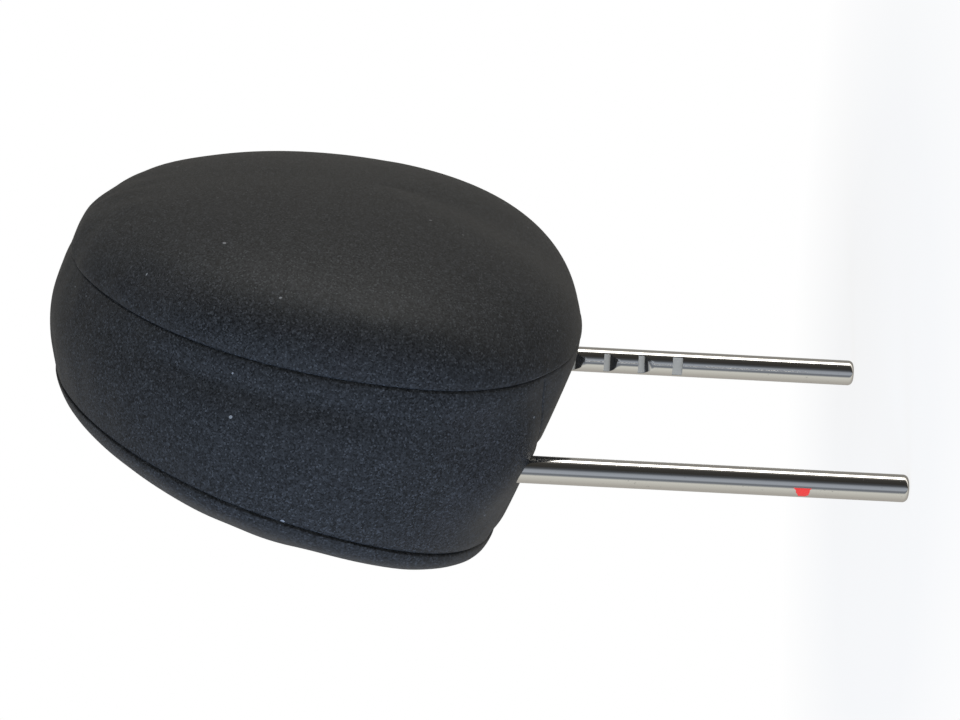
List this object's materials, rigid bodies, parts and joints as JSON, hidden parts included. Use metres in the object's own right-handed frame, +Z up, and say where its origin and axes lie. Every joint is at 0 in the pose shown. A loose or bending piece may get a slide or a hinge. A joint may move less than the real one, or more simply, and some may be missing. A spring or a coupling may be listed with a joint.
{
  "type": "car headrest",
  "caption": "Oval padded head restraint with sewn fabric cover on a bent chromed steel rod whose two posts slide into seat guides; detent notches on one post.",
  "frame": {"origin": "midway between the axes of the two posts, at the level where they leave the cushion", "axes": "+X from the plain post to the notched post, -Y towards the head that leans on the cushion, +Z up along the posts"},
  "size_m": [0.2566, 0.1336, 0.315],
  "materials": {
    "post_chrome": "bright chromed steel with fine scuffs",
    "core_plastic": "moulded black plastic",
    "screw_steel": "zinc-plated",
    "foam": "moulded cream polyurethane foam",
    "cover_fabric": "dark charcoal brushed knit laminated with thin foam",
    "hook_plastic": "extruded natural plastic",
    "seam_thread": "dark polyester sewing thread"
  },
  "bodies": {
    "root": {"post_rod": "post_chrome", "core_front_shell": "core_plastic", "core_rear_shell": "core_plastic", "core_screw_1": "screw_steel", "core_screw_2": "screw_steel", "core_screw_3": "screw_steel", "core_screw_4": "screw_steel", "foam_cushion": "foam", "cover_front_panel": "cover_fabric", "cover_side_band": "cover_fabric", "cover_back_panel": "cover_fabric", "cover_underside_front": "cover_fabric", "cover_underside_rear": "cover_fabric", "closure_hook_front": "hook_plastic", "closure_hook_rear": "hook_plastic", "front_seam_thread": "seam_thread", "back_seam_thread": "seam_thread", "corner_thread_right": "seam_thread", "corner_thread_left": "seam_thread"}
  },
  "joints": []
}
